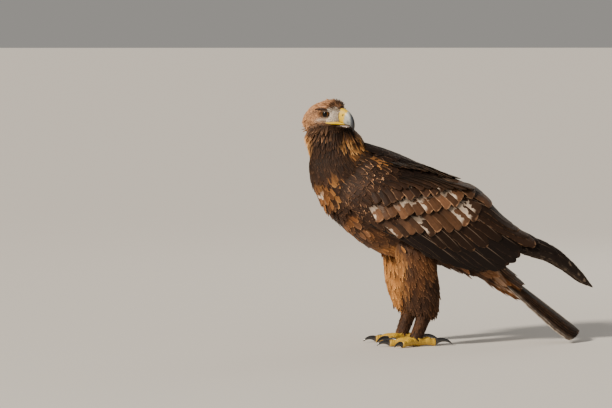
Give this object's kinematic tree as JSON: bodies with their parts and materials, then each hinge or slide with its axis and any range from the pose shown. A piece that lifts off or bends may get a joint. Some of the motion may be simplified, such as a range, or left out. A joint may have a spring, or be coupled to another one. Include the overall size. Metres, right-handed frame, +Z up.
{
  "type": "golden eagle",
  "caption": "Still life-size golden eagle standing with folded wings, head turned back over its left side, hooked bill, feathered legs and clawed feet",
  "frame": {"origin": "on the floor, at the middle of the bird's bounding box in plan", "axes": "+Z up, the body faces -X with the tail towards +X, and the bird's left side is towards -Y"},
  "size_m": [0.6552, 0.2366, 0.5536],
  "materials": {
    "body_brown": "small dark brown feathers, soft and matt",
    "nape_gold": "pointed golden-brown hackle feathers",
    "wing_brown": "dark brown flight feathers and coverts with paler edges",
    "tail_dark": "blackish-brown tail feathers with a faint silky sheen",
    "thigh_rufous": "loose rufous-brown leg feathers",
    "cere_yellow": "waxy yellow skin",
    "horn": "smooth blue-grey horn, darker to the tip",
    "toe_yellow": "scaly yellow skin",
    "claw_black": "smooth black horn",
    "eye_amber": "wet amber-brown eye with a round black pupil"
  },
  "bodies": {
    "root": {"head": "body_brown", "cere": "cere_yellow", "beak_upper": "horn", "beak_lower": "horn", "eye_left": "eye_amber", "eye_right": "eye_amber", "neck": "nape_gold", "torso": "body_brown", "wing_left": "wing_brown", "wing_right": "wing_brown", "tail": "tail_dark", "thigh_left": "thigh_rufous", "thigh_right": "thigh_rufous", "shank_left": "thigh_rufous", "shank_right": "thigh_rufous", "foot_left": "toe_yellow", "foot_right": "toe_yellow", "claw_left_middle": "claw_black", "claw_left_inner": "claw_black", "claw_left_outer": "claw_black", "claw_left_hind": "claw_black", "claw_right_middle": "claw_black", "claw_right_inner": "claw_black", "claw_right_outer": "claw_black", "claw_right_hind": "claw_black"}
  },
  "joints": []
}
